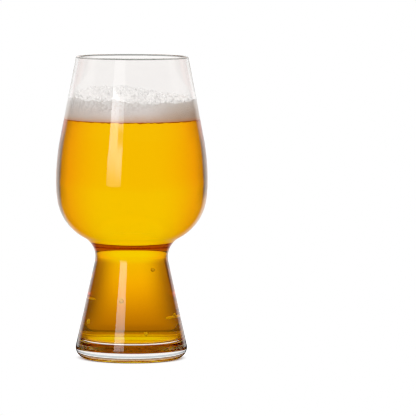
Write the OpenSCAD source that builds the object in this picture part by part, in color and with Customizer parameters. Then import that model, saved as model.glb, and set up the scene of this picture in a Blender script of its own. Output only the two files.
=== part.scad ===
// Footed beer glass, filled: a tulip bowl on a short neck and a hollow flared foot, blown in one piece,
// with beer up to the shoulder of the bowl, a foam head and the bubbles on it and in the foot.
// Millimetres, +Z up. The origin is the centre of the base, on the table.

/* [Bowl] */
// Height of the glass from the table to the top of the rim
total_h = 177.5; // [165:0.5:200]
// Outer diameter at the rim
rim_d = 66.4; // [58:0.1:76]
// Outer diameter at the widest circle of the bowl
bowl_d = 89.2; // [82:0.1:98]
// Height of the widest circle of the bowl above the table
bowl_z = 103.8; // [98:0.1:112]
// Radius of the belly curve above the widest circle, in section
upper_belly_r = 141; // [110:1:180]
// Radius of the belly curve just below the widest circle, in section
lower_belly_r = 70; // [55:1:85]
// Angle that the lower belly curve turns through before the tighter curve of the bowl's bottom
lower_belly_angle = 9; // [6:0.5:13]

/* [Neck and foot] */
// Outer diameter at the narrowest circle of the neck
neck_d = 42.7; // [36:0.1:50]
// Height of the narrowest circle of the neck above the table
neck_z = 59.7; // [52:0.1:66]
// Radius of the hollow curve of the neck, in section
neck_curve_r = 12.8; // [9:0.1:17]
// Outer diameter of the foot
foot_d = 65.4; // [56:0.1:74]
// Radius of the rounded lower edge of the foot
foot_edge_r = 6.3; // [4:0.1:10]

/* [Wall and base] */
// Thickness of the wall from the foot to the rim
wall_t = 2; // [1.4:0.1:2.8]
// Thickness of the base under the cavity, from the table
base_t = 10.5; // [7:0.1:14]
// Radius of the corner between the cavity's floor and its wall
floor_corner_r = 4; // [2:0.1:7]
// Diameter of the shallow hollow under the base
hollow_d = 40; // [30:0.5:46]
// Depth of the hollow under the base
hollow_h = 1.2; // [0.5:0.1:2.5]

/* [Head of foam] */
// Free height from the top of the foam to the rim
headspace = 18; // [10:0.5:30]
// Thickness of the foam along the wall
foam_t = 11.5; // [8:0.5:18]
// Height of the foam's mound above its flat edge
mound_h = 6; // [3:0.5:9]
// Radius of the mound's round top
mound_r = 92; // [75:1:115]
// Distance of the mound's crown from the axis, towards -X
mound_shift = 10; // [0:0.5:16]
// Number of swells of froth on the foam
swell_n = 44; // [20:1:50]
// Diameter of the largest swell
swell_d = 8.6; // [6:0.1:9.5]
// Height of the largest swell above the foam around it
swell_h = 1.5; // [0.8:0.1:2.2]

/* [Bubbles] */
// Number of coarse bubbles along the wall on the foam
rim_bubble_n = 42; // [20:1:48]
// Number of coarse bubbles on the crowns of the outer swells
crown_bubble_n = 18; // [6:1:20]
// Diameter of the largest coarse bubble
foam_bubble_d = 2.8; // [2:0.1:3.6]
// Gap between a coarse bubble and the glass wall
bubble_gap = 0.4; // [0.2:0.1:1]
// Number of gas bubbles on the wall inside the foot
wall_bubble_n = 9; // [4:1:16]
// Diameter of the largest gas bubble in the foot
wall_bubble_d = 3.2; // [2:0.1:4]
// Film of beer between a gas bubble and the glass
wall_film = 0.4; // [0.2:0.1:1]

/* [Hidden] */

// Steps of a full turn, and the turn covered by one chord of a section's arc
$fn = 96;
arc_step = 5;

glass_colour = [0.88, 0.93, 0.92, 0.35];
beer_colour = [0.96, 0.66, 0.05, 0.9];
foam_colour = [0.96, 0.94, 0.91];
bubble_colour = [0.98, 0.97, 0.95, 0.8];
gas_colour = [1, 0.87, 0.35, 0.6];

// Levels inside the glass, counted down from the rim
foam_top_z = total_h - headspace;
mound_top_z = foam_top_z - swell_h;
foam_edge_z = mound_top_z - mound_h;
beer_top_z = foam_edge_z - foam_t;

// Points and directions of the section are [radius, height]
function dir(a) = [cos(a), sin(a)];
function heading(v) = atan2(v[1], v[0]);
function arc(c, r, a0, a1) =
    let (n = max(2, ceil(abs(a1 - a0) / arc_step)))
    [for (i = [0:n]) c + r * dir(a0 + (a1 - a0) * i / n)];

// Arcs that follow on from each other share a point, which is kept once
same_point = 0.001;
function chain(points) =
    [for (i = [0:len(points) - 1]) if (i == 0 || norm(points[i] - points[i - 1]) > same_point) points[i]];

// Rim: a round edge as thick as the wall
rim_r = wall_t / 2;
rim_c = [rim_d / 2 - rim_r, total_h - rim_r];

// Upper belly: the straight upper wall touches both its circle and the rim's
upper_c = [bowl_d / 2 - upper_belly_r, bowl_z];
upper_v = rim_c - upper_c;
upper_a = heading(upper_v) - acos((upper_belly_r - rim_r) / norm(upper_v));

// Lower belly, from the widest circle downwards
lower_c = [bowl_d / 2 - lower_belly_r, bowl_z];
lower_u = dir(-lower_belly_angle);
lower_end = lower_c + lower_belly_r * lower_u;

// Bottom of the bowl: the circle that carries on the lower belly and touches the neck's circle
neck_c = [neck_d / 2 + neck_curve_r, neck_z];
neck_v = lower_end - neck_c;
bottom_r = (neck_v * neck_v - pow(neck_curve_r, 2)) / (2 * (neck_v * lower_u + neck_curve_r));
bottom_c = lower_end - bottom_r * lower_u;
bottom_a = heading(neck_c - bottom_c);

// Foot: the straight flare touches the neck's circle and the circle of the foot's lower edge
edge_c = [foot_d / 2 - foot_edge_r, foot_edge_r];
flare_v = edge_c - neck_c;
flare_a = heading(flare_v) - acos((neck_curve_r + foot_edge_r) / norm(flare_v)) + 180;
flare_n = dir(flare_a);
flare_k = edge_c * flare_n + foot_edge_r;

// Wall from the neck up to the rim, seen at a depth below the outer surface
function wall_above_foot(depth) = concat(
    arc(neck_c, neck_curve_r + depth, flare_a + 180, bottom_a + 180),
    arc(bottom_c, bottom_r - depth, bottom_a, -lower_belly_angle),
    arc(lower_c, lower_belly_r - depth, -lower_belly_angle, 0),
    arc(upper_c, upper_belly_r - depth, 0, upper_a)
);

// Cavity from the edge of its floor up to the rim: the outer shape, one wall further in
corner_z = base_t + floor_corner_r;
corner_x = (flare_k - wall_t - floor_corner_r - flare_n[1] * corner_z) / flare_n[0];
cavity = chain(concat(
    arc([corner_x, corner_z], floor_corner_r, -90, flare_a),
    wall_above_foot(wall_t),
    [rim_c - rim_r * dir(upper_a)]
));
function backwards(list) = [for (i = [len(list) - 1:-1:0]) list[i]];

// Radius of the cavity at a height, and the stretch of its section between two heights
function cavity_r(z) = lookup(z, [for (p = cavity) [p[1], p[0]]]);
function cavity_between(z0, z1) = chain(concat(
    [[cavity_r(z0), z0]],
    [for (p = cavity) if (p[1] > z0 && p[1] < z1) p],
    [[cavity_r(z1), z1]]
));

// Hollow under the base: a shallow spherical dish
hollow_r = hollow_d / 2;
dish_r = (pow(hollow_r, 2) + pow(hollow_h, 2)) / (2 * hollow_h);
dish_a = asin(hollow_r / dish_r);
dish_steps = 6;
dish = [for (i = [0:dish_steps]) [0, hollow_h - dish_r] + dish_r * dir(90 - dish_a * i / dish_steps)];

glass_section = chain(concat(
    dish,
    arc(edge_c, foot_edge_r, -90, flare_a),
    wall_above_foot(0),
    arc(rim_c, rim_r, upper_a, upper_a + 180),
    backwards(cavity),
    [[0, base_t]]
));

// A spread between 0 and 1 that looks irregular, for the sizes and places of swells and bubbles
golden_angle = 137.508;
spread_rate = 0.618;
function spread(i) = i * spread_rate - floor(i * spread_rate);

// Swells and bubbles: the smallest one as a share of the largest
smallest_share = 0.45;
function share(i) = smallest_share + (1 - smallest_share) * spread(i);
function bubble_r(i, largest) = largest / 2 * share(i + 1);

// Mound of foam: a ball whose crown stands one swell below the foam's top
mound_c = [-mound_shift, 0, mound_top_z - mound_r];
function mound_z(p) =
    mound_c[2] + sqrt(pow(mound_r, 2) - pow(p[0] - mound_c[0], 2) - pow(p[1] - mound_c[1], 2));

// The smooth foam at a place: its surface point and the direction straight out of it
function smooth_point(p) = [p[0], p[1], max(foam_edge_z, mound_z(p))];
function smooth_out(p) = mound_z(p) > foam_edge_z ? (smooth_point(p) - mound_c) / mound_r : [0, 0, 1];

// Swells: caps of balls on the smooth foam, along a spiral that spreads them evenly and leaves room
// for the bubbles along the wall
bubble_ring_w = foam_bubble_d + 3 * bubble_gap;
swell_reach = cavity_r(foam_edge_z) - bubble_ring_w - swell_d / 2;
function swell_place(i) = swell_reach * sqrt((i + 0.5) / swell_n) * dir(golden_angle * i);
function swell_height(i) = swell_h * share(i * i);
function swell_r(i) =
    let (h = swell_height(i), a = swell_d / 2 * sqrt(share(i * i)))
    (pow(a, 2) + pow(h, 2)) / (2 * h);
function swell_c(i) =
    let (p = swell_place(i))
    smooth_point(p) - (swell_r(i) - swell_height(i)) * smooth_out(p);

// Coarse bubbles: the share of their height that is sunk in the foam
sunk_share = 0.3;
function above(r) = r * (1 - 2 * sunk_share);
function rim_bubble_c(i) =
    let (way = dir(360 * (i + spread(i) / 2) / rim_bubble_n), r = bubble_r(i, foam_bubble_d))
    let (wall_z = smooth_point(cavity_r(foam_edge_z) * way)[2] + above(r))
    smooth_point((cavity_r(wall_z) - (r + bubble_gap) / cos(upper_a)) * way) + [0, 0, above(r)];
function crown_bubble_c(i, r) = swell_c(i) + (swell_r(i) + above(r)) * smooth_out(swell_place(i));

// Gas bubbles: spread around the foot and up its wall, between the floor's corner and the neck,
// closer together near the floor
first_gas_angle = 288;
gas_crowding = 1.5;
gas_low_z = corner_z + wall_bubble_d / 2;
gas_high_z = neck_z - wall_bubble_d;
function gas_z(i) = gas_low_z + (gas_high_z - gas_low_z) * pow((i + 0.5) / wall_bubble_n, gas_crowding);
function gas_place(i) =
    let (r = bubble_r(i, wall_bubble_d), z = gas_z(i), away = (r + wall_film) / flare_n[0])
    concat((cavity_r(z) - away) * dir(first_gas_angle + golden_angle * i), [z]);

module smooth_foam() {
    translate([0, 0, beer_top_z])
        cylinder(h = foam_t, d = bowl_d);
    translate(mound_c)
        sphere(r = mound_r);
}

module swell(i) {
    translate(swell_c(i))
        sphere(r = swell_r(i));
}

module rim_bubbles() {
    difference() {
        for (i = [0:rim_bubble_n - 1])
            translate(rim_bubble_c(i))
                sphere(r = bubble_r(i, foam_bubble_d));
        smooth_foam();
    }
}

module crown_bubbles() {
    for (i = [swell_n - crown_bubble_n:swell_n - 1]) {
        r = bubble_r(i, foam_bubble_d);
        difference() {
            translate(crown_bubble_c(i, r))
                sphere(r = r);
            swell(i);
        }
    }
}

module gas_balls() {
    for (i = [0:wall_bubble_n - 1])
        translate(gas_place(i))
            sphere(r = bubble_r(i, wall_bubble_d));
}

module glass() {
    color(glass_colour)
        rotate_extrude()
            polygon(glass_section);
}

module beer() {
    color(beer_colour)
        difference() {
            rotate_extrude()
                polygon(concat([[0, base_t]], cavity_between(base_t, beer_top_z), [[0, beer_top_z]]));
            gas_balls();
        }
}

module foam_head() {
    color(foam_colour)
        intersection() {
            rotate_extrude()
                polygon(concat([[0, beer_top_z]], cavity_between(beer_top_z, foam_top_z), [[0, foam_top_z]]));
            union() {
                smooth_foam();
                for (i = [0:swell_n - 1])
                    swell(i);
            }
        }
}

module foam_bubbles() {
    color(bubble_colour) {
        rim_bubbles();
        crown_bubbles();
    }
}

module wall_bubbles() {
    color(gas_colour)
        gas_balls();
}

glass();
beer();
foam_head();
foam_bubbles();
wall_bubbles();
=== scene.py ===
"""Footed beer glass, filled: the finish of its glass, beer, foam and bubbles, and a plain studio."""
import math

import bpy
import numpy as np
from bpy.props import FloatProperty, FloatVectorProperty, IntProperty, PointerProperty
from mathutils import Matrix, Vector


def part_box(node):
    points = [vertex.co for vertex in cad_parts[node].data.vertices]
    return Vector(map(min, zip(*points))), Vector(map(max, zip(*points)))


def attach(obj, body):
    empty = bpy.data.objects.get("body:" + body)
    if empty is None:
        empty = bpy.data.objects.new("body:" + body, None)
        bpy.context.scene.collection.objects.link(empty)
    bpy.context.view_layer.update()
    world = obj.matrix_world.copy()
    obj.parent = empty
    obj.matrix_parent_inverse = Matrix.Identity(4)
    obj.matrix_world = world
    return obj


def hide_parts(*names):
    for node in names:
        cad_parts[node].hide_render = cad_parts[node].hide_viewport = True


bl_info = {
    "name": "Footed Beer Glass",
    "version": (1, 0, 0),
    "blender": (4, 5, 0),
    "location": "3D View > Sidebar > Beer Glass",
    "description": "Blows the glass, fills it with beer, lays the foam and sets a plain studio",
    "category": "Object",
}

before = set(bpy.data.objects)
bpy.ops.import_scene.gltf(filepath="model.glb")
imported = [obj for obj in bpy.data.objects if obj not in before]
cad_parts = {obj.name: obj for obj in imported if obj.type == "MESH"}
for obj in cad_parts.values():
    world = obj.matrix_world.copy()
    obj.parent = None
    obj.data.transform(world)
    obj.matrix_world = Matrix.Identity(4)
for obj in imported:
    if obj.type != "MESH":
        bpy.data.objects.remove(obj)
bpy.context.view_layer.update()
_, GLASS_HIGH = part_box("glass")
BEER_LOW, BEER_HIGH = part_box("beer")

MM = 0.001
GOLDEN_ANGLE = math.radians(137.508)
GOLDEN_SHARE = 0.618

WHITE = (1.0, 1.0, 1.0)
GLASS_IOR = 1.5
BEER_IOR = 1.34
FILM_IOR = 1.33
LAMP_LEAN = math.radians(-5)

# Surfaces that a ray passes in dry glass, from how many on it has strayed, and what it then loses in front.
DRY_DEPTH = 4.0
STRAY_DEPTH = 8.0
STRAY_LOSS = 0.85

# How finely the meshes are cut, and the angle from which an edge counts as sharp.
BALL_ROWS = 14
BALL_TURNS = 24
DISH_STEPS = 12
RING_ROWS = 5
FLOOR_ROWS = 8
LEVEL_ROWS = 12
FOAM_TURNS = 576
FOAM_UNDER_ROWS = 7
FOAM_SIDE_ROWS = 26
FOAM_TOP_ROWS = 124
SHARP_ANGLE = math.radians(50)

# The foam's uneven lines along the wall, as waves in a turn with their phases, and its fine froth.
FOAM_WAVES = ((23, 0.0), (41, 1.0), (67, 2.0))
FOAM_WAVE = 0.14 * MM
FOAM_DIP = 0.1 * MM
FOAM_SOAK = 0.45 * MM
UNDER_FLATNESS = 8
EDGE_LUMP = 1.0 * MM
EDGE_FROTH = 1.1
EDGE_SINK = 0.8 * MM
EDGE_WIDTH = 1.2 * MM
TOP_SINK = 0.35 * MM
CROWN_HEIGHT = 0.45 * MM


def length(name, description, default):
    """A length property in metres."""
    return FloatProperty(name=name, description=description, default=default, unit="LENGTH", precision=5)


def angle(name, description, degrees):
    """An angle property, given in degrees."""
    return FloatProperty(name=name, description=description, default=math.radians(degrees), unit="ROTATION")


def amount(name, description, default):
    """A plain number."""
    return FloatProperty(name=name, description=description, default=default)


def number(name, description, default):
    """A whole number."""
    return IntProperty(name=name, description=description, default=default)


def colour(name, description, default):
    """A linear colour."""
    return FloatVectorProperty(
        name=name, description=description, default=default, size=3, subtype="COLOR", min=0.0, max=1.0
    )


class GlassSizes(bpy.types.PropertyGroup):
    """Sizes of the glass's section, as the solids have them."""

    height: length("Height", "From the table to the top of the rim", GLASS_HIGH[2])
    rim_diameter: length("Rim", "Outer diameter at the rim", 66.4 * MM)
    bowl_diameter: length("Bowl", "Outer diameter at the widest circle", 89.2 * MM)
    bowl_height: length("Bowl height", "Height of the widest circle", 103.8 * MM)
    upper_belly: length("Upper belly", "Radius of the curve above the widest circle", 141 * MM)
    lower_belly: length("Lower belly", "Radius of the curve below the widest circle", 70 * MM)
    belly_turn: angle("Belly turn", "Angle that the lower belly turns through", 9)
    neck_diameter: length("Neck", "Outer diameter at the narrowest circle", 42.7 * MM)
    neck_height: length("Neck height", "Height of the narrowest circle", 59.7 * MM)
    neck_curve: length("Neck curve", "Radius of the neck's hollow curve", 12.8 * MM)
    foot_diameter: length("Foot", "Outer diameter of the foot", 65.4 * MM)
    foot_edge: length("Foot edge", "Radius of the foot's rounded lower edge", 6.3 * MM)
    wall: length("Wall", "Thickness of the wall", 2 * MM)
    base: length("Base", "Thickness of the base under the cavity", BEER_LOW[2])
    floor_corner: length("Floor corner", "Radius between the cavity's floor and its wall", 4 * MM)
    hollow_diameter: length("Hollow", "Diameter of the hollow under the base", 40 * MM)
    hollow_depth: length("Hollow depth", "Depth of the hollow under the base", 1.2 * MM)
    turns: number("Turns", "Steps of a full turn", 256)


class FillSizes(bpy.types.PropertyGroup):
    """Sizes of what is in the glass."""

    beer_top: length("Beer top", "Height of the beer's surface", BEER_HIGH[2])
    foam_edge: length("Foam edge", "Thickness of the foam along the wall", 11.5 * MM)
    mound_height: length("Mound height", "Height of the mound above the foam's flat edge", 6 * MM)
    mound_radius: length("Mound", "Radius of the mound's round top", 92 * MM)
    mound_shift: length("Mound shift", "Distance of the crown from the axis, to the left", 10 * MM)
    swells: number("Swells", "Swells of froth on the foam", 44)
    swell: length("Swell", "Diameter of the largest swell", 8.6 * MM)
    swell_height: length("Swell height", "Height of the largest swell above the foam around it", 1.5 * MM)
    contact: length("Contact", "Depth that the fill reaches into the glass, to leave no air", 0.06 * MM)
    rim_bubbles: number("Wall bubbles", "Coarse bubbles along the wall", 42)
    crown_bubbles: number("Crown bubbles", "Coarse bubbles on the swells", 18)
    bubble: length("Coarse bubble", "Diameter of the largest coarse bubble", 2.8 * MM)
    bubble_gap: length("Bubble gap", "Gap between a coarse bubble and the glass", 0.4 * MM)
    bubble_film: length("Bubble film", "Thickness of a coarse bubble's film", 0.1 * MM)
    bubble_stand: amount("Bubble stand", "Height of a bubble's centre over the foam, in its radii", 0.4)
    gas_bubbles: number("Gas bubbles", "Bubbles on the wall in the foot", 9)
    gas_bubble: length("Gas bubble", "Diameter of the largest gas bubble", 3.2 * MM)
    gas_film: length("Gas film", "Film of beer between a gas bubble and the glass", 0.4 * MM)
    gas_start: angle("Gas start", "Angle round the axis at the lowest gas bubble", 288)
    gas_crowding: amount("Gas crowding", "How much closer the gas bubbles lie low down", 1.5)


class Looks(bpy.types.PropertyGroup):
    """Colours of the glass and of what is in it."""

    glass_tint: colour("Glass", "Colour that the glass gives to light passing through", (1.0, 0.985, 0.975))
    # Painted shade: the glass greyer round its thick base and in its rounded rim, where light goes a long way
    # through it.
    glass_base_shade: colour("Glass base", "Colour of the glass round its thick base", (0.42, 0.48, 0.50))
    glass_rim_shade: colour("Glass rim", "Colour of the glass in its rounded rim", (0.32, 0.33, 0.31))
    beer_surface: colour("Beer", "Colour that the beer gives to light passing through", (1.0, 0.74, 0.02))
    beer_depth: colour("Deep beer", "Colour of deep beer", (1.0, 0.980, 0.05))
    beer_density: amount("Beer density", "How strongly the beer takes light, per metre", 110.0)
    beer_glow: colour("Beer glow", "Colour that the beer throws on the foam above it", (0.92, 0.40, 0.06))
    beer_line: colour("Beer line", "Colour of the line between beer and foam", (0.74, 0.24, 0.02))
    # A painted glint on the gas bubbles' skins, in a lighter and a darker colour.
    gas_glint_pale: colour("Pale gas", "Lighter colour of a gas bubble's skin", (1.0, 0.95, 0.60))
    gas_glint_deep: colour("Deep gas", "Darker colour of a gas bubble's skin", (1.0, 0.86, 0.40))
    foam_white: colour("Foam", "Colour of the foam's top", (0.99, 0.985, 0.98))
    foam_side: colour("Foam side", "Colour of the foam half way down its side", (0.97, 0.94, 0.91))
    foam_wet: colour("Wet foam", "Colour of the foam just above the beer", (0.92, 0.76, 0.63))
    # Painted shade on the foam's side at its left and right ends.
    foam_end_shade: colour("Soaked foam", "Colour of the foam soaked with beer at its ends", (0.70, 0.57, 0.44))
    film_cloud: colour("Bubble film", "Colour of a coarse bubble where it is cloudy", (0.97, 0.965, 0.95))


class Studio(bpy.types.PropertyGroup):
    """Camera, lamps and backdrop."""

    frame_px: number("Frame", "Width of the picture in pixels", 416)
    focal_px: amount("Focal length", "Focal length in pixels of the picture", 4000.0)
    distance: length("Distance", "From the camera to the glass", 2.35)
    elevation: angle("Elevation", "Camera's angle above the horizon", 4.6)
    roll: angle("Roll", "Camera's turn about its own axis", 0.27)
    aim_height: length("Aim height", "Height on the axis that is level with the picture's middle", 88.45 * MM)
    axis_px: amount("Axis", "Pixels from the picture's middle to the axis of the glass", -76.2)
    fill_light: amount("Fill light", "Strength of the soft light on matt surfaces", 1.25)
    floor_light: amount("Floor light", "Strength of the floor's light on matt surfaces", 0.42)
    floor_reach: length("Floor", "From the floor's middle to its sides", 5.0)
    floor_drop: length("Floor drop", "Gap between the glass and the floor", 0.1 * MM)
    floor_pale: colour("Pale floor", "Colour of the floor", (0.95, 0.95, 0.95))
    floor_shadow: colour("Floor shadow", "Colour of the floor under the glass", (0.45, 0.50, 0.62))
    floor_amber: colour("Amber floor", "Colour of the floor near the foot, in the beer", (1.0, 0.53, 0.38))
    floor_flush: colour("Floor flush", "Tinge of the floor further off, in the beer", (1.0, 0.0, 0.0))
    side_warm: colour("Warm side", "Colour of the studio's sides, in the beer", (1.0, 0.66, 0.6))


def arc(centre, radius, start, end, step=math.radians(2.5)):
    """Points on a circle in the section plane: centre + radius (cos a, sin a), a even from start to end."""
    count = max(3, int(math.ceil(abs(end - start) / step)) + 1)
    a = np.linspace(start, end, count)
    return np.stack([centre[0] + radius * np.cos(a), centre[1] + radius * np.sin(a)], axis=1)


def heading(v):
    """The angle of a direction in the section plane."""
    return math.atan2(v[1], v[0])


def way(a):
    """The unit direction at an angle in the section plane."""
    return np.array([math.cos(a), math.sin(a)])


class Section:
    """The glass's section in [radius, height]: circles and the straight walls that touch them."""

    def __init__(self, size):
        self.size = size
        self.rim_r = size.wall / 2
        self.rim = np.array([size.rim_diameter / 2 - self.rim_r, size.height - self.rim_r])
        self.upper = np.array([size.bowl_diameter / 2 - size.upper_belly, size.bowl_height])
        leg = self.rim - self.upper
        self.upper_a = heading(leg) - math.acos((size.upper_belly - self.rim_r) / np.hypot(*leg))
        self.lower = np.array([size.bowl_diameter / 2 - size.lower_belly, size.bowl_height])
        down = way(-size.belly_turn)
        lower_end = self.lower + size.lower_belly * down
        self.neck = np.array([size.neck_diameter / 2 + size.neck_curve, size.neck_height])
        gap = lower_end - self.neck
        self.bottom_r = (gap @ gap - size.neck_curve**2) / (2 * (gap @ down + size.neck_curve))
        self.bottom = lower_end - self.bottom_r * down
        self.bottom_a = heading(self.neck - self.bottom)
        self.edge = np.array([size.foot_diameter / 2 - size.foot_edge, size.foot_edge])
        leg = self.edge - self.neck
        self.flare_a = heading(leg) - math.acos((size.neck_curve + size.foot_edge) / np.hypot(*leg)) + math.pi
        self.flare_n = way(self.flare_a)
        self.flare_k = self.edge @ self.flare_n + size.foot_edge

    def wall(self, depth):
        """The wall from the neck up to the shoulder at a depth below the outer surface."""
        size = self.size
        turn = size.belly_turn
        return np.concatenate([
            arc(self.neck, size.neck_curve + depth, self.flare_a + math.pi, self.bottom_a + math.pi),
            arc(self.bottom, self.bottom_r - depth, self.bottom_a, -turn)[1:],
            arc(self.lower, size.lower_belly - depth, -turn, 0)[1:],
            arc(self.upper, size.upper_belly - depth, 0, self.upper_a, step=math.radians(0.8))[1:],
        ])

    def cavity(self, clearance=0.0):
        """The cavity from the edge of its floor to the rim, drawn in by a clearance."""
        size = self.size
        depth = size.wall + clearance
        corner_r = size.floor_corner - clearance
        corner_z = size.base + size.floor_corner
        corner_x = self.flare_k - size.wall - size.floor_corner - self.flare_n[1] * corner_z
        corner = np.array([corner_x / self.flare_n[0], corner_z])
        top = self.rim - (self.rim_r + clearance) * way(self.upper_a)
        return np.concatenate([
            arc(corner, corner_r, -math.pi / 2, self.flare_a, step=math.radians(6)),
            self.wall(depth),
            top[None],
        ])

    def cavity_radius(self, z, clearance=0.0):
        """The cavity's radius at a height."""
        points = self.cavity(clearance)
        return np.interp(z, points[:, 1], points[:, 0])

    def glass(self):
        """The closed section, from the middle of the hollow out, up, over the rim and down to the floor."""
        size = self.size
        r = size.hollow_diameter / 2
        dish_r = (r**2 + size.hollow_depth**2) / (2 * size.hollow_depth)
        dish_a = math.asin(r / dish_r)
        dish_c = np.array([0.0, size.hollow_depth - dish_r])
        dish = arc(dish_c, dish_r, math.pi / 2, math.pi / 2 - dish_a, step=dish_a / DISH_STEPS)
        ring = np.linspace(dish[-1], self.edge - [0, size.foot_edge], RING_ROWS)[1:-1]
        floor = self.cavity()[0] * np.linspace(1, 0, FLOOR_ROWS)[1:, None] * [1, 0] + [0, size.base]
        return np.concatenate([
            dish,
            ring,
            arc(self.edge, size.foot_edge, -math.pi / 2, self.flare_a),
            self.wall(0.0),
            arc(self.rim, self.rim_r, self.upper_a, self.upper_a + math.pi, step=math.radians(9)),
            self.cavity()[-2::-1],
            floor,
        ])


def lathe(section, turns):
    """Carries a section round Z: (r, h) goes to (r cos t, r sin t, h). Its two ends lie on the axis."""
    t = np.arange(turns) * (2 * math.pi / turns)
    r, z = section[1:-1, 0, None], section[1:-1, 1, None]
    rings = np.stack([r * np.cos(t), r * np.sin(t), np.broadcast_to(z, (len(r), turns))], axis=-1)
    return close_rings(rings, section[0, 1], section[-1, 1])


def close_rings(rings, first_z, last_z):
    """Points and faces of a stack of rings, with two poles on the axis, the last points."""
    rows, turns = rings.shape[:2]
    poles = np.array([[0.0, 0.0, first_z], [0.0, 0.0, last_z]])
    first, last, top = rows * turns, rows * turns + 1, (rows - 1) * turns
    j = np.arange(turns)
    k = (j + 1) % turns
    low = (np.arange(rows - 1) * turns)[:, None]
    quads = np.stack([low + j, low + k, low + turns + k, low + turns + j], axis=-1).reshape(-1, 4)
    tris = np.concatenate([
        np.stack([np.full(turns, first), k, j], axis=1),
        np.stack([np.full(turns, last), top + j, top + k], axis=1),
    ])
    return np.concatenate([rings.reshape(-1, 3), poles]), quads, tris


def balls(centres, radii):
    """Spheres: centre + radius (sin p cos t, sin p sin t, -cos p), p from pole to pole and t once round."""
    p = np.linspace(0, math.pi, BALL_ROWS + 2)[1:-1, None]
    t = np.arange(BALL_TURNS) * (2 * math.pi / BALL_TURNS)
    ring = np.stack([np.sin(p) * np.cos(t), np.sin(p) * np.sin(t), -np.cos(p) * np.ones(len(t))], axis=-1)
    unit, quads, tris = close_rings(ring, -1.0, 1.0)
    points = centres[:, None] + radii[:, None, None] * unit
    step = (np.arange(len(centres)) * len(unit))[:, None, None]
    return points.reshape(-1, 3), (quads + step).reshape(-1, 4), (tris + step).reshape(-1, 3)


def joined(parts):
    """Several sets of points and faces as one."""
    shift, points, quads, tris = 0, [], [], []
    for p, q, t in parts:
        points.append(p)
        quads.append(q + shift)
        tris.append(t + shift)
        shift += len(p)
    return np.concatenate(points), np.concatenate(quads), np.concatenate(tris)


def turned_in(part):
    """The same faces seen from their other side, as on the wall of a void."""
    points, quads, tris = part
    return points, quads[:, ::-1], tris[:, ::-1]


def make_piece(name, part, materials, node_names, second=None, crowns=None):
    """Puts points and faces into a mesh, shades it smooth, and ties the object to the frame. The faces whose
    middles pass the test given as second get the second material. Crowns says how far each point stands out
    of the froth."""
    points, quads, tris = part
    mesh = bpy.data.meshes.new(name)
    mesh.from_pydata(points.tolist(), [], quads.tolist() + tris.tolist())
    if mesh.validate():
        raise RuntimeError(f"the mesh of {name} had faults")
    mesh.shade_smooth()
    mesh.set_sharp_from_angle(angle=SHARP_ANGLE)
    for material in materials:
        mesh.materials.append(material)
    if second is not None:
        middles = np.concatenate([points[quads].mean(axis=1), points[tris].mean(axis=1)])
        mesh.polygons.foreach_set("material_index", second(middles).astype(np.int32))
    if crowns is not None:
        mesh.attributes.new("crown", "FLOAT", "POINT").data.foreach_set("value", crowns.astype(np.float32))
    piece = bpy.data.objects.new(name, mesh)
    bpy.context.scene.collection.objects.link(piece)
    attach(piece, "root")
    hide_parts(*node_names)


def scatter(x, y, seed):
    """A number between 0 and 1 for each pair of whole numbers, always the same for the same pair and seed."""
    s = np.sin(x * 127.1 + y * 311.7 + seed * 74.7) * 43758.5453
    return s - np.floor(s)


def domes(x, y, cell, fullness, seed):
    """Heights of a froth of round bubbles: one ball per square cell, and the highest of the nine nearest."""
    margin, room, largest = 0.15, 0.7, 0.72
    u, v = x / cell, y / cell
    cu, cv = np.floor(u), np.floor(v)
    best = np.zeros_like(u)
    for du in (-1, 0, 1):
        for dv in (-1, 0, 1):
            iu, iv = cu + du, cv + dv
            mx = iu + margin + room * scatter(iu, iv, seed)
            my = iv + margin + room * scatter(iu, iv, seed + 1)
            r = largest * scatter(iu, iv, seed + 2) ** 0.5 * (scatter(iu, iv, seed + 3) < fullness)
            best = np.maximum(best, np.sqrt(np.maximum(r**2 - (u - mx) ** 2 - (v - my) ** 2, 0)))
    return best * cell


def lumps(x, y):
    """Slow swells of the foam: a few sine waves that cross each other."""
    a = np.sin(210 * x + 90 * y + 0.4) + np.sin(-130 * x + 230 * y + 1.9)
    b = np.sin(390 * x - 260 * y + 2.6) + np.sin(170 * x + 430 * y + 5.1)
    return 0.5 * a + 0.3 * b


def spread(i):
    """A number between 0 and 1 that looks irregular from one count to the next."""
    s = i * GOLDEN_SHARE
    return s - np.floor(s)


def share(i):
    """Sizes of swells and bubbles as shares of the largest one."""
    smallest = 0.45
    return smallest + (1 - smallest) * spread(i)


def bubble_radii(i, largest):
    """Radii of bubbles, from under half of the largest up to it."""
    return largest / 2 * share(i + 1)


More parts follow.
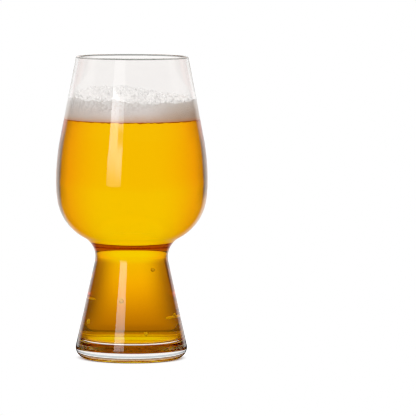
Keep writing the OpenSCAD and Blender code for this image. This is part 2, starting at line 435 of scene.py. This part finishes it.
class FoamShape:
    """The foam's surface over the glass's plan."""

    # How softly the mound and the swells run out, the rise at the glass and how far in it reaches, the lift
    # where there is no swell, and the cells of the fine and the coarse froth.
    soft_mound = 0.7 * MM
    soft_swell = 0.2 * MM
    wall_rise = 0.3 * MM
    wall_reach = 1.6 * MM
    no_swell = -5 * MM
    fine_cell = 1.25 * MM
    coarse_cell = 2.6 * MM

    def __init__(self, glass, fill):
        self.fill = fill
        self.section = Section(glass)
        self.edge_z = fill.beer_top + fill.foam_edge
        self.wall_r = self.section.cavity_radius(self.edge_z)
        self.mound = np.array([-fill.mound_shift, 0.0, self.edge_z + fill.mound_height - fill.mound_radius])
        i = np.arange(fill.swells)
        reach = self.wall_r - fill.bubble - 3 * fill.bubble_gap - fill.swell / 2
        r = reach * np.sqrt((i + 0.5) / fill.swells)
        x, y = r * np.cos(GOLDEN_ANGLE * i), r * np.sin(GOLDEN_ANGLE * i)
        foot = np.stack([x, y, np.maximum(self.edge_z, self.cap(x, y))], axis=1)
        on_mound = (self.cap(x, y) > self.edge_z)[:, None]
        self.swell_out = np.where(on_mound, (foot - self.mound) / fill.mound_radius, [0.0, 0.0, 1.0])
        rise = fill.swell_height * share(i * i)
        self.swell_r = (fill.swell**2 / 4 * share(i * i) + rise**2) / (2 * rise)
        self.swell_c = foot - (self.swell_r - rise)[:, None] * self.swell_out

    def cap(self, x, y):
        """The ball's cap of the mound: its height where it stands over a place."""
        d2 = (x - self.mound[0]) ** 2 + (y - self.mound[1]) ** 2
        return self.mound[2] + np.sqrt(self.fill.mound_radius**2 - d2)

    def smooth(self, x, y):
        """The mound running out softly into the flat edge, with a small rise where it meets the glass."""
        over = self.soft_mound * np.logaddexp(0, (self.cap(x, y) - self.edge_z) / self.soft_mound)
        rise = self.wall_rise * np.exp((np.hypot(x, y) - self.wall_r) / self.wall_reach)
        return self.edge_z + over + rise

    def swelled(self, x, y):
        """The smooth surface with the swells, balls that stand out of it and run out softly into it."""
        base = self.smooth(x, y)
        lift = np.full_like(base, self.no_swell)
        for centre, radius in zip(self.swell_c, self.swell_r):
            d2 = (x - centre[0]) ** 2 + (y - centre[1]) ** 2
            ball = centre[2] + np.sqrt(np.maximum(radius**2 - d2, 0)) - base
            lift = np.maximum(lift, ball)
        return base + self.soft_swell * np.logaddexp(0, lift / self.soft_swell)

    def froth(self, x, y):
        """Heights of the fine froth: small bubbles side by side, with a larger one here and there."""
        fine = domes(x, y, self.fine_cell, fullness=0.97, seed=11.0)
        coarse = domes(x, y, self.coarse_cell, fullness=0.22, seed=3.0)
        return np.maximum(0.85 * fine, 0.7 * coarse)


class Shade:
    """A value in a node tree: arithmetic on it adds Math nodes."""

    def __init__(self, tree, socket):
        self.tree = tree
        self.socket = socket

    def maths(self, operation, first, second=0.0):
        """A Math node's result."""
        made = add(self.tree, "ShaderNodeMath", {"operation": operation}, {0: first, 1: second})
        return Shade(self.tree, made.outputs[0])

    def __add__(self, other):
        return self.maths("ADD", self, other)

    __radd__ = __add__

    def __sub__(self, other):
        return self.maths("SUBTRACT", self, other)

    def __rsub__(self, other):
        return self.maths("SUBTRACT", other, self)

    def __mul__(self, other):
        return self.maths("MULTIPLY", self, other)

    __rmul__ = __mul__

    def __truediv__(self, other):
        return self.maths("DIVIDE", self, other)

    def __neg__(self):
        return self.maths("MULTIPLY", self, -1.0)

    def size(self):
        """The value without its sign."""
        return self.maths("ABSOLUTE", self)

    def root(self):
        """The square root."""
        return self.maths("SQRT", self)

    def at_most(self, limit):
        """The value, or the limit where the value is larger."""
        return self.maths("MINIMUM", self, limit)

    def ramp(self, low, high):
        """Runs smoothly from 0 at low to 1 at high, and stays there."""
        made = add(self.tree, "ShaderNodeMapRange", {"interpolation_type": "SMOOTHSTEP"},
                   {"Value": self, "From Min": low, "From Max": high})
        return Shade(self.tree, made.outputs["Result"])

    def band(self, start, full, ebb, end):
        """Rises from 0 at start to 1 at full, and falls from 1 at ebb to 0 at end."""
        return self.ramp(start, full) * (1 - self.ramp(ebb, end))


def add(tree, kind, settings=None, inputs=None):
    """Adds a node of a kind, first with its settings, then with the values or links of its sockets."""
    made = tree.nodes.new(kind)
    for name, value in (settings or {}).items():
        setattr(made, name, value)
    for name, value in (inputs or {}).items():
        socket = made.inputs[name]
        if isinstance(value, Shade):
            tree.links.new(value.socket, socket)
        elif isinstance(value, bpy.types.NodeSocket):
            tree.links.new(value, socket)
        elif socket.type == "RGBA":
            socket.default_value = (*value, 1.0)[:4]
        else:
            socket.default_value = value
    return made


def new_material(name):
    """An empty material with its output node."""
    material = bpy.data.materials.new(name)
    material.use_nodes = True
    tree = material.node_tree
    tree.nodes.clear()
    return material, tree, tree.nodes.new("ShaderNodeOutputMaterial")


def place(tree):
    """The Object coordinates, and their three parts."""
    where = add(tree, "ShaderNodeTexCoord").outputs["Object"]
    parts = add(tree, "ShaderNodeSeparateXYZ", {}, {0: where}).outputs
    return where, [Shade(tree, part) for part in parts]


def noise(tree, where, scale, detail=2.0):
    """Cloudy noise between 0 and 1, in steps per metre."""
    made = add(tree, "ShaderNodeTexNoise", {}, {"Vector": where, "Scale": scale, "Detail": detail})
    return Shade(tree, made.outputs[0])


def blend(tree, factor, first, second):
    """A mix of two colours."""
    made = add(tree, "ShaderNodeMix", {"data_type": "RGBA"}, {0: factor, 6: first, 7: second})
    return made.outputs[2]


def coat(tree, out, inputs):
    """Joins a Principled shader with these inputs to a material's surface."""
    shader = add(tree, "ShaderNodeBsdfPrincipled", {}, inputs)
    tree.links.new(shader.outputs[0], out.inputs["Surface"])


def dimmed(tone, level):
    """A colour at a share of its strength."""
    return tuple(level * part for part in tone)


def glass_material(name, looks, top, mirroring):
    """Clear polished glass with a trace of haze and waviness, and painted shade that makes it greyer in its
    rounded rim and round its thick base, where light goes a long way through it. Where beer wets it, it
    mirrors next to nothing."""
    material, tree, out = new_material(name)
    where, (_, _, z) = place(tree)
    haze = noise(tree, where, scale=60.0)
    waves = noise(tree, where, scale=28.0, detail=1.0)
    bump = add(tree, "ShaderNodeBump", {}, {"Strength": 0.02, "Distance": 2 * MM, "Height": waves})
    # Painted shade: greyer bands in the rounded rim and round the thick base, where light goes a long way
    # through the glass.
    rim = (z - top).band(-1.15 * MM, -0.85 * MM, -0.45 * MM, -0.15 * MM)
    base = z.band(6.0 * MM, 6.8 * MM, 9.8 * MM, 10.8 * MM)
    clear = blend(tree, haze, looks.glass_tint, dimmed(looks.glass_tint, 0.99))
    clear = blend(tree, base, clear, looks.glass_base_shade)
    coat(tree, out, {
        "Base Color": blend(tree, rim, clear, looks.glass_rim_shade),
        "Roughness": haze * 0.004,
        "IOR": GLASS_IOR,
        "Specular Tint": (mirroring, mirroring, mirroring),
        "Transmission Weight": 1.0,
        "Normal": bump.outputs[0],
    })
    return material


def beer_material(looks):
    """Clear golden liquid: a gold tint at its surface, deeper the further light goes through it."""
    material, tree, out = new_material("golden_beer")
    where, _ = place(tree)
    cloud = noise(tree, where, scale=35.0)
    gold = tuple(looks.beer_surface)
    deeper = (gold[0], gold[1] * 0.95, gold[2] * 0.85)
    coat(tree, out, {
        "Base Color": blend(tree, cloud, gold, deeper),
        "Roughness": 0.0,
        "IOR": BEER_IOR,
        "Specular Tint": (0.0, 0.0, 0.0),
        "Transmission Weight": 1.0,
    })
    depth = add(tree, "ShaderNodeVolumeAbsorption", {},
                {"Color": looks.beer_depth, "Density": looks.beer_density})
    tree.links.new(depth.outputs[0], out.inputs["Volume"])
    return material


def gas_material(looks):
    """The skin of a gas bubble in the beer: partly clear and partly pale, as a painted glint in lighter and
    darker patches.
    """
    material, tree, out = new_material("gas_skin")
    where, _ = place(tree)
    cloud = noise(tree, where, scale=500.0)
    coat(tree, out, {
        "Base Color": blend(tree, cloud, looks.gas_glint_pale, looks.gas_glint_deep),
        "Roughness": 0.1 + 0.1 * cloud,
        "IOR": BEER_IOR,
        "Transmission Weight": 0.4,
    })
    return material


def foam_material(looks, fill, edge):
    """Fine wet foam: white on top, greyer and mottled down its side and tan where beer soaks it, with a grain
    of fine bubbles and a warm glow where it meets the beer. Painted light whitens its side a little sooner on
    the left; painted shade darkens its left and right ends and the hollows and creases of its froth."""
    material, tree, out = new_material("beer_foam")
    where, (x, y, z) = place(tree)
    across = x / edge
    above = z - fill.beer_top
    at_wall = (x * x + y * y).root().ramp(edge - 2.5 * MM, edge - 1.0 * MM)
    grain = noise(tree, where, scale=1400.0, detail=3.0)
    patches = noise(tree, where, scale=160.0)
    # From wet to white up the side, whiter a little sooner on the left as painted light,
    # and painted shade at both ends, most on the right.
    height = above / fill.foam_edge + (patches - 0.5) * 0.25 - across * 0.12
    tone = blend(tree, height.ramp(0.0, 0.5), looks.foam_wet, looks.foam_side)
    tone = blend(tree, height.ramp(0.25, 0.8), tone, looks.foam_white)
    end_shade = across.ramp(0.1, 0.9) * 0.6 + (-across).ramp(0.2, 0.9) * 0.3
    tone = blend(tree, end_shade * (1.0 - height.ramp(0.6, 1.1)), tone, looks.foam_end_shade)
    # Painted shade in the skins between fine bubbles, with specks, and a mottling that is strongest on the
    # left.
    cells = add(tree, "ShaderNodeTexVoronoi", {"feature": "DISTANCE_TO_EDGE"},
                {"Vector": where, "Scale": 750.0})
    skins = 1.0 - Shade(tree, cells.outputs["Distance"]).ramp(0.02, 0.16)
    crease_shade_and_specks = skins * 0.25 + (0.52 - grain).ramp(0.0, 0.1) * 0.28
    tone = blend(tree, crease_shade_and_specks * height.ramp(0.2, 1.0), tone, dimmed(looks.foam_side, 0.62))
    mottle = noise(tree, where, scale=640.0, detail=3.0).ramp(0.47, 0.57) * height.band(0.35, 0.8, 1.05, 1.2)
    mottle = mottle * (0.3 + 0.4 * (-across).ramp(-0.5, 0.4))
    tone = blend(tree, mottle, tone, dimmed(looks.foam_side, 0.75))
    # Painted shade in the hollows of the froth, and the white underside.
    crown = Shade(tree, add(tree, "ShaderNodeAttribute", {"attribute_name": "crown"}).outputs["Fac"])
    tone = blend(tree, 1.0 - crown, tone, dimmed(looks.foam_white, 0.86))
    under = 1.0 - above.ramp(0.0, 0.3 * MM)
    tone = blend(tree, under * (1.0 - at_wall), tone, looks.foam_white)
    # At the wall, the beer's glow on the foam above it and the line between them.
    glow = (1.0 - above.ramp(-0.2 * MM, 2.4 * MM)) * (0.4 + 0.25 * across.ramp(0.3, 0.9))
    tone = blend(tree, glow * at_wall, tone, looks.beer_glow)
    line = (1.0 - above.ramp(0.0, 0.4 * MM)) * at_wall * (0.5 + 0.5 * grain.ramp(0.4, 0.6))
    tone = blend(tree, line, tone, looks.beer_line)
    bump = add(tree, "ShaderNodeBump", {}, {"Strength": 0.3, "Distance": 0.4 * MM, "Height": 1.0 - skins})
    coat(tree, out, {
        "Base Color": tone,
        "Roughness": 0.35 + 0.3 * grain,
        "IOR": FILM_IOR,
        "Normal": bump.outputs[0],
    })
    return material


def film_material(looks):
    """The thin wet film of a coarse bubble: pale and only slightly clear, a little cloudy in places."""
    material, tree, out = new_material("bubble_film")
    where, _ = place(tree)
    cloud = noise(tree, where, scale=900.0)
    coat(tree, out, {
        "Base Color": blend(tree, cloud, WHITE, looks.film_cloud),
        "Roughness": 0.1 + cloud * 0.1,
        "IOR": FILM_IOR,
        "Transmission Weight": 0.12,
    })
    return material


def chosen(scene):
    """The sizes of the glass, those of its fill, and the looks."""
    return scene.beer_glass_sizes, scene.beer_glass_fill, scene.beer_glass_looks


class OBJECT_OT_blow_glass(bpy.types.Operator):
    """Turns the glass's section into one clear wall"""

    bl_idname = "beer_glass.blow_glass"
    bl_label = "Blow the glass"

    def execute(self, context):
        glass, fill, looks = chosen(context.scene)
        shape = Section(glass)

        def wetted(middles):
            """The inner wall and the floor up to the foam's edge."""
            r, z = np.hypot(middles[:, 0], middles[:, 1]), middles[:, 2]
            inside = r < shape.cavity_radius(z) + glass.wall / 4
            return inside & (z > glass.base - glass.wall / 4) & (z < fill.beer_top + fill.foam_edge)

        mirroring = {"clear_glass": 1.0, "wetted_glass": 0.0}
        materials = [glass_material(name, looks, glass.height, part) for name, part in mirroring.items()]
        wall = lathe(shape.glass(), glass.turns)
        make_piece("glass_wall", wall, materials, ["glass"], second=wetted)
        return {"FINISHED"}


class OBJECT_OT_pour_beer(bpy.types.Operator):
    """Fills the cavity with beer up to its level, with the voids of the gas bubbles in the foot"""

    bl_idname = "beer_glass.pour_beer"
    bl_label = "Pour the beer"

    def execute(self, context):
        glass, fill, looks = chosen(context.scene)
        shape = Section(glass)
        wall = shape.cavity(-fill.contact)
        top_z = fill.beer_top
        below = wall[wall[:, 1] < top_z]
        top_r = shape.cavity_radius(top_z, -fill.contact)
        floor = below[0] * np.linspace(0, 1, FLOOR_ROWS)[:-1, None] * [1, 0] + [0, below[0][1]]
        top = np.stack([np.linspace(top_r, 0, LEVEL_ROWS), np.full(LEVEL_ROWS, top_z)], axis=1)
        body = lathe(np.concatenate([floor, below, top]), glass.turns)
        count = np.arange(fill.gas_bubbles)
        radii = bubble_radii(count, fill.gas_bubble)
        low = glass.base + glass.floor_corner + fill.gas_bubble / 2
        high = glass.neck_height - fill.gas_bubble
        z = low + (high - low) * ((count + 0.5) / fill.gas_bubbles) ** fill.gas_crowding
        r = shape.cavity_radius(z) - (radii + fill.gas_film) / shape.flare_n[0]
        t = fill.gas_start + GOLDEN_ANGLE * count
        voids = balls(np.stack([r * np.cos(t), r * np.sin(t), z], axis=1), radii)
        clear_of_floor = glass.base + glass.wall / 2

        def on_voids(middles):
            """The skins of the gas bubbles, which lie in the foot and clear of its wall and floor."""
            r, z = np.hypot(middles[:, 0], middles[:, 1]), middles[:, 2]
            return (r < shape.cavity_radius(z) - fill.gas_film / 2) & (z > clear_of_floor) & (z < high)

        materials = [beer_material(looks), gas_material(looks)]
        make_piece("beer_fill", joined([body, turned_in(voids)]), materials, ["beer", "wall_bubbles"],
                   second=on_voids)
        return {"FINISHED"}


class OBJECT_OT_lay_foam(bpy.types.Operator):
    """Lays the foam on the beer: a closed body with a frothy top"""

    bl_idname = "beer_glass.lay_foam"
    bl_label = "Lay the foam"

    def execute(self, context):
        glass, fill, looks = chosen(context.scene)
        shape = FoamShape(glass, fill)
        t = np.arange(FOAM_TURNS) * (2 * math.pi / FOAM_TURNS)
        c, s = np.cos(t), np.sin(t)
        waves = FOAM_WAVE * sum(np.sin(count * t + phase) for count, phase in FOAM_WAVES)
        bottom = fill.beer_top - FOAM_DIP
        low = np.minimum(fill.beer_top - FOAM_SOAK + waves, bottom)
        x, y = shape.wall_r * c, shape.wall_r * s
        high = shape.smooth(x, y) + EDGE_LUMP * lumps(x, y) + EDGE_FROTH * shape.froth(x, y) - EDGE_SINK
        side_z = low + (high - low) * np.linspace(0, 1, FOAM_SIDE_ROWS)[:, None]
        side_r = shape.section.cavity_radius(side_z, -fill.contact / 2)
        side = np.stack([side_r * c, side_r * s, side_z], axis=-1)
        share_out = np.linspace(0, 1, FOAM_UNDER_ROWS)[1:-1, None]
        under_r = side_r[0] * share_out
        under_z = bottom + (low - bottom) * share_out**UNDER_FLATNESS
        under = np.stack([under_r * c, under_r * s, under_z], axis=-1)
        top_r = side_r[-1] * np.linspace(1, 0, FOAM_TOP_ROWS)[1:-1, None]
        x, y = top_r * c, top_r * s
        off_wall = np.clip((side_r[-1] - top_r) / EDGE_WIDTH, 0, 1)
        froth = shape.froth(x, y)
        frothy = shape.swelled(x, y) + froth - TOP_SINK
        top = np.stack([x, y, high * (1 - off_wall) + frothy * off_wall], axis=-1)
        rings = np.concatenate([under, side, top])
        part = close_rings(rings, bottom, float(frothy[-1].mean()))
        # How far each point stands out of the froth; the foam's material paints shade in the hollows from it.
        crowns = np.ones(rings.shape[:2])
        crowns[-len(top):] = 1 + (froth / CROWN_HEIGHT - 1).clip(-1, 0) * off_wall
        material = foam_material(looks, fill, shape.wall_r)
        make_piece("foam_froth", part, [material], ["foam_head"],
                   crowns=np.append(crowns.ravel(), [1.0, 1.0]))
        return {"FINISHED"}


class OBJECT_OT_set_bubbles(bpy.types.Operator):
    """Sets the coarse bubbles on the foam, as thin shells"""

    bl_idname = "beer_glass.set_bubbles"
    bl_label = "Set the bubbles"

    def execute(self, context):
        glass, fill, looks = chosen(context.scene)
        shape = FoamShape(glass, fill)
        i = np.arange(fill.rim_bubbles)
        r = bubble_radii(i, fill.bubble)
        t = 2 * math.pi * (i + spread(i) / 2) / fill.rim_bubbles
        stand = fill.bubble_stand
        wall_z = shape.smooth(shape.wall_r * np.cos(t), shape.wall_r * np.sin(t)) + stand * r
        reach = shape.section.cavity_radius(wall_z) - (r + fill.bubble_gap) / math.cos(shape.section.upper_a)
        x, y = reach * np.cos(t), reach * np.sin(t)
        along_wall = np.stack([x, y, shape.smooth(x, y) + stand * r], axis=1)
        k = np.arange(fill.swells - fill.crown_bubbles, fill.swells)
        crown_r = bubble_radii(k, fill.bubble)
        on_crowns = shape.swell_c[k] + (shape.swell_r[k] + stand * crown_r)[:, None] * shape.swell_out[k]
        centres, sizes = np.concatenate([along_wall, on_crowns]), np.append(r, crown_r)
        outside = balls(centres, sizes)
        inside = turned_in(balls(centres, sizes - fill.bubble_film))
        shells = joined([outside, inside])
        make_piece("foam_bubble_shells", shells, [film_material(looks)], ["foam_bubbles"])
        return {"FINISHED"}


def bearing_from_back(x, y):
    """The angle between a direction and straight back, with its sign: positive to the right."""
    return x.maths("ARCTAN2", x, y)


def between(value, start, full, ebb, end):
    """A band of angles, from start and full to ebb and end, all in degrees."""
    return value.band(*(math.radians(part) for part in (start, full, ebb, end)))


def seen_studio(tree, studio, x, y, lead=0.0):
    """What the filled glass shows of the studio towards a side: white behind the glass, warm and then dark to
    its sides, and white again in front. Gives the colour and the strength. The lead is an angle that brings
    the sides nearer to the back."""
    turn = bearing_from_back(x, y).size() + lead
    warm = between(turn, 8, 40, 60, 90)
    dim = between(turn, 34, 46, 66, 84)
    dark = between(turn, 46, 53, 62, 76)
    dim_loss, dark_loss = 0.25, 0.66
    return blend(tree, warm, WHITE, studio.side_warm), 1 - dim_loss * dim - dark_loss * dark


def mirrored_studio(x, y):
    """What a mirror shows of the studio: white close to straight back and dark all round."""
    loss = 0.99
    return 1 - loss * bearing_from_back(x, y).size().ramp(math.radians(31), math.radians(46))


def ray_kinds(tree):
    """Whether a ray comes from the camera, out of glass, off a mirror, or at last from a matt surface;
    whether it has passed only dry glass; and whether it has strayed about in the glass."""
    names = "Is Camera Ray", "Is Transmission Ray", "Is Glossy Ray", "Diffuse Depth", "Ray Depth"
    ray = add(tree, "ShaderNodeLightPath").outputs
    camera, through, glossy, matt_depth, depth = (Shade(tree, ray[name]) for name in names)
    matt = matt_depth.at_most(1.0)
    clear = 1 - matt
    kinds = camera, through * clear, glossy * (1 - through) * clear, matt
    return kinds, 1 - depth.ramp(DRY_DEPTH, DRY_DEPTH + 1), depth.ramp(STRAY_DEPTH, STRAY_DEPTH + 1)


def world_light(studio):
    """White to the camera; soft light on matt surfaces, more from the front and less from the sides; through
    the filled glass, a bright studio with dark sides; in mirrors, white behind the glass, dark elsewhere."""
    world = bpy.data.worlds.new("studio_light")
    world.use_nodes = True
    tree = world.node_tree
    tree.nodes.clear()
    out = tree.nodes.new("ShaderNodeOutputWorld")
    (camera, through, mirrored, matt), dry, stray = ray_kinds(tree)
    towards = add(tree, "ShaderNodeTexCoord").outputs["Generated"]
    x, y, z = (Shade(tree, part) for part in add(tree, "ShaderNodeSeparateXYZ", {}, {0: towards}).outputs)
    tone, level = seen_studio(tree, studio, x, y)
    # The dark sides lighten upwards, far to the right least.
    lift, held_back = 0.75, 0.9
    far_right = bearing_from_back(x, y).ramp(math.radians(49), math.radians(56))
    level = level + lift * (1 - level) * z.ramp(0.0, 0.15) * (1 - held_back * far_right)
    # Rays that have strayed about in the glass find little in front of it.
    in_front = (-y).ramp(0.0, 0.3)
    level = level * (1 - STRAY_LOSS * stray * in_front)
    # Dry glass shows white low behind it and little else.
    behind = (1 - z.ramp(0.2, 0.6)) * (1 - in_front)
    dry_rest = 0.12
    level = level + (dry_rest + (1 - dry_rest) * behind - level) * dry
    ceiling = 1 - 0.5 * z.ramp(0.5, 0.95)
    # The light on matt surfaces, with less of it from the right than from the left.
    front_gain, up_loss, right_loss, left_loss = 0.4, 0.05, 0.97, 0.45
    up = z.ramp(0.1, 0.9)
    sides = right_loss * x.ramp(-0.2, 0.7) + left_loss * (-x).ramp(0.0, 0.9)
    fill = studio.fill_light * (1 + front_gain * (-y).ramp(0.0, 0.9) - up_loss * up - sides * (1 - up))
    strength = camera + (through * level + mirrored * mirrored_studio(x, y)) * ceiling + matt * fill
    tint = blend(tree, through * (1 - dry), WHITE, tone)
    back = add(tree, "ShaderNodeBackground", {}, {"Color": tint, "Strength": strength})
    tree.links.new(back.outputs[0], out.inputs["Surface"])
    bpy.context.scene.world = world


def floor_material(studio):
    """Pale matt floor that keeps the shadow close to the glass and runs out into white; through the glass it
    is dim and amber close to the foot, where the beer's own shade falls, and dimmer towards the sides."""
    material, tree, out = new_material("pale_floor")
    where, (x, y, _) = place(tree)
    reach = add(tree, "ShaderNodeVectorMath", {"operation": "LENGTH"}, {0: where})
    away = Shade(tree, reach.outputs["Value"])
    (camera, through, mirrored, matt_ray), dry, stray = ray_kinds(tree)
    grey = blend(tree, away.ramp(0.030, 0.040), studio.floor_shadow, studio.floor_pale)
    matt = add(tree, "ShaderNodeBsdfPrincipled", {}, {"Base Color": grey, "Roughness": 0.9})
    # The studio's sides start sooner near the glass, and are lighter right beside it.
    lead, lift = math.radians(3.0), 0.65
    tone, level = seen_studio(tree, studio, x, y, lead * (1 - away.ramp(0.8, 2.0)))
    level = level + lift * (1 - level) * (1 - away.ramp(0.3, 0.5))
    # The beer's own shade: dark close to the foot and wider to its sides.
    near_loss, dry_loss, right_loss, left_loss, streak_loss = 0.62, 0.12, 0.55, 0.5, 0.35
    near = 1 - away.ramp(0.03, 0.20)
    azimuth = bearing_from_back(x, y)
    shade = right_loss * between(azimuth, 4, 27, 120, 150) + left_loss * between(-azimuth, 4, 27, 42, 60)
    shade = shade + streak_loss * between(-azimuth, 33, 38, 43, 49)
    level = level * (1 - near_loss * near) * (1 - shade * (1 - away.ramp(0.12, 0.40)))
    level = level * (1 - STRAY_LOSS * stray * (-y).ramp(-0.01, 0.02))
    level = level + (1 - dry_loss * near - level) * dry
    mirror = mirrored_studio(x, y) * away.ramp(0.05, 0.35)
    strength = camera + through * level + mirrored * mirror + matt_ray * studio.floor_light
    warm = blend(tree, 0.07 * (1 - away.ramp(0.9, 4.5)), tone, studio.floor_flush)
    warm = blend(tree, 1 - away.ramp(0.03, 0.36), warm, studio.floor_amber)
    tint = blend(tree, through * (1 - dry), WHITE, warm)
    bright = add(tree, "ShaderNodeEmission", {}, {"Color": tint, "Strength": strength})
    share_lit = camera * away.ramp(0.027, 0.0335) + through + mirrored + matt_ray
    mixed = add(tree, "ShaderNodeMixShader", {}, {0: share_lit, 1: matt.outputs[0], 2: bright.outputs[0]})
    tree.links.new(mixed.outputs[0], out.inputs["Surface"])
    return material


def softbox(name, bearing, distance, width, high, radiance, foot, tiers):
    """A standing soft lamp that the camera doesn't see: a leaning rectangle that faces the glass, at a
    bearing in degrees, with a share of its strength at its foot. Each tier gives two heights, in metres, and
    the change of that share between them."""
    lamp = bpy.data.lights.new(name, "AREA")
    lamp.shape = "RECTANGLE"
    lamp.size, lamp.size_y = width, high
    lamp.energy = radiance * math.pi * width * high
    lamp.use_nodes = True
    tree = lamp.node_tree
    tree.nodes.clear()
    spot = add(tree, "ShaderNodeNewGeometry").outputs["Position"]
    height = Shade(tree, add(tree, "ShaderNodeSeparateXYZ", {}, {0: spot}).outputs[2])
    strength = foot
    for start, end, change in tiers:
        strength = strength + change * height.ramp(start, end)
    glow = add(tree, "ShaderNodeEmission", {}, {"Strength": strength})
    tree.links.new(glow.outputs[0], tree.nodes.new("ShaderNodeOutputLight").inputs["Surface"])
    stand = bpy.data.objects.new(name, lamp)
    a = math.radians(bearing)
    stand.location = (distance * math.sin(a), -distance * math.cos(a), high / 2)
    facing = Vector((stand.location.x, stand.location.y, 0.0)).to_track_quat("Z", "Y").to_matrix()
    stand.rotation_euler = (facing @ Matrix.Rotation(LAMP_LEAN, 3, "Z")).to_euler()
    stand.visible_camera = False
    stand.visible_transmission = False
    bpy.context.scene.collection.objects.link(stand)


class OBJECT_OT_set_studio(bpy.types.Operator):
    """Sets the floor, lamps, backdrop and camera"""

    bl_idname = "beer_glass.set_studio"
    bl_label = "Set the studio"

    def execute(self, context):
        scene = context.scene
        studio = scene.beer_glass_studio
        scene.view_settings.view_transform = "Standard"
        scene.cycles.max_bounces = 48
        scene.cycles.transmission_bounces = 48
        scene.cycles.glossy_bounces = 32
        scene.cycles.diffuse_bounces = 12
        scene.cycles.blur_glossy = 0.0
        scene.cycles.filter_width = 1.0
        self.camera(scene, studio)
        world_light(studio)
        self.floor(scene, studio)
        softbox(
            "strip_lamp", bearing=-30.0, distance=1.2, width=0.28, high=0.9, radiance=4.8, foot=0.24,
            tiers=[(0.0, 0.45, 0.76), (0.51, 0.535, 0.40), (0.568, 0.612, -1.1)],
        )
        softbox(
            "strip_edge_lamp", bearing=-19.0, distance=1.2, width=0.18, high=0.9, radiance=1.8, foot=0.5,
            tiers=[(0.51, 0.535, 1.5), (0.568, 0.612, -1.3)],
        )
        softbox(
            "foot_lamp", bearing=-19.0, distance=0.5, width=0.075, high=0.4, radiance=3.5, foot=0.0,
            tiers=[(0.05, 0.19, 1.0), (0.215, 0.28, -1.0)],
        )
        return {"FINISHED"}

    def camera(self, scene, studio):
        """A long lens at the picture's height and distance, turned so that the axis is left of the middle."""
        lens = bpy.data.cameras.new("studio_camera")
        lens.sensor_width = 36.0
        lens.lens = lens.sensor_width * studio.focal_px / studio.frame_px
        lens.clip_end = 20.0
        eye = bpy.data.objects.new("studio_camera", lens)
        aim = Vector((0.0, 0.0, studio.aim_height))
        back = Vector((0.0, -math.cos(studio.elevation), math.sin(studio.elevation)))
        eye.location = aim + studio.distance * back
        aim.x = -studio.axis_px * studio.distance / studio.focal_px
        look = (aim - eye.location).to_track_quat("-Z", "Y").to_matrix().to_4x4()
        turned = look @ Matrix.Rotation(studio.roll, 4, "Z")
        eye.rotation_euler = turned.to_euler()
        scene.collection.objects.link(eye)
        scene.camera = eye

    def floor(self, scene, studio):
        """A flat square sheet just under the glass."""
        r = studio.floor_reach
        z = -studio.floor_drop
        part = np.array([[-r, -r, z], [r, -r, z], [r, r, z], [-r, r, z]])
        mesh = bpy.data.meshes.new("studio_floor")
        mesh.from_pydata(part.tolist(), [], [(0, 1, 2, 3)])
        mesh.materials.append(floor_material(studio))
        floor = bpy.data.objects.new("studio_floor", mesh)
        scene.collection.objects.link(floor)


class VIEW3D_PT_beer_glass(bpy.types.Panel):
    """Lists the sizes, colours and steps of the beer glass"""

    bl_label = "Beer Glass"
    bl_idname = "VIEW3D_PT_beer_glass"
    bl_space_type = "VIEW_3D"
    bl_region_type = "UI"
    bl_category = "Beer Glass"

    def draw(self, context):
        for step in STEPS:
            self.layout.operator(step.bl_idname)
        for group in GROUPS:
            values = getattr(context.scene, group)
            box = self.layout.box()
            for name in values.__annotations__:
                box.prop(values, name)


STEPS = (
    OBJECT_OT_blow_glass,
    OBJECT_OT_pour_beer,
    OBJECT_OT_lay_foam,
    OBJECT_OT_set_bubbles,
    OBJECT_OT_set_studio,
)
GROUPS = {
    "beer_glass_sizes": GlassSizes,
    "beer_glass_fill": FillSizes,
    "beer_glass_looks": Looks,
    "beer_glass_studio": Studio,
}
CLASSES = (*GROUPS.values(), *STEPS, VIEW3D_PT_beer_glass)


def register():
    """Adds the classes and the scene's settings."""
    for cls in CLASSES:
        bpy.utils.register_class(cls)
    for name, cls in GROUPS.items():
        setattr(bpy.types.Scene, name, PointerProperty(type=cls))


def unregister():
    """Takes the settings and classes away again."""
    for name in GROUPS:
        delattr(bpy.types.Scene, name)
    for cls in reversed(CLASSES):
        bpy.utils.unregister_class(cls)


def main():
    """Builds the glass and its fill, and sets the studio."""
    register()
    bpy.ops.beer_glass.set_studio()
    bpy.ops.beer_glass.blow_glass()
    bpy.ops.beer_glass.pour_beer()
    bpy.ops.beer_glass.lay_foam()
    bpy.ops.beer_glass.set_bubbles()


if __name__ == "__main__":
    main()
